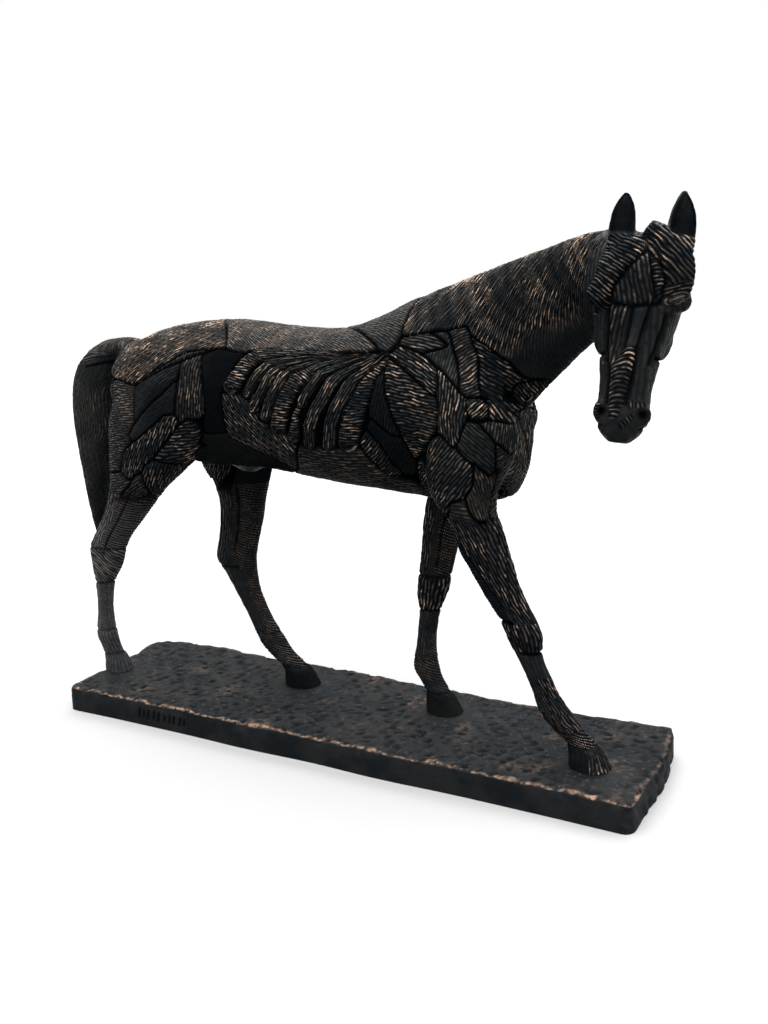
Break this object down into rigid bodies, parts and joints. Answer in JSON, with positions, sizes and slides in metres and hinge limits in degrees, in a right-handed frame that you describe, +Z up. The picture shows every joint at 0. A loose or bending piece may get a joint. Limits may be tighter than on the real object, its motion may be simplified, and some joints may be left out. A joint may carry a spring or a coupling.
{
  "type": "horse sculpture on plinth",
  "caption": "Walking horse figure in the flayed style, its head turned to one side, cast as one piece and stood on a rough oblong plinth.",
  "frame": {"origin": "middle of the plinth's flat underside", "axes": "+X the way the horse walks, +Y to the horse's left, +Z up"},
  "size_m": [0.3941, 0.1107, 0.2902],
  "materials": {
    "bronze_figure": "dark patina with copper on the raised strands",
    "bronze_plinth": "dark patina with copper on the worn edges"
  },
  "bodies": {
    "root": {"horse": "bronze_figure", "plinth": "bronze_plinth"}
  },
  "joints": []
}
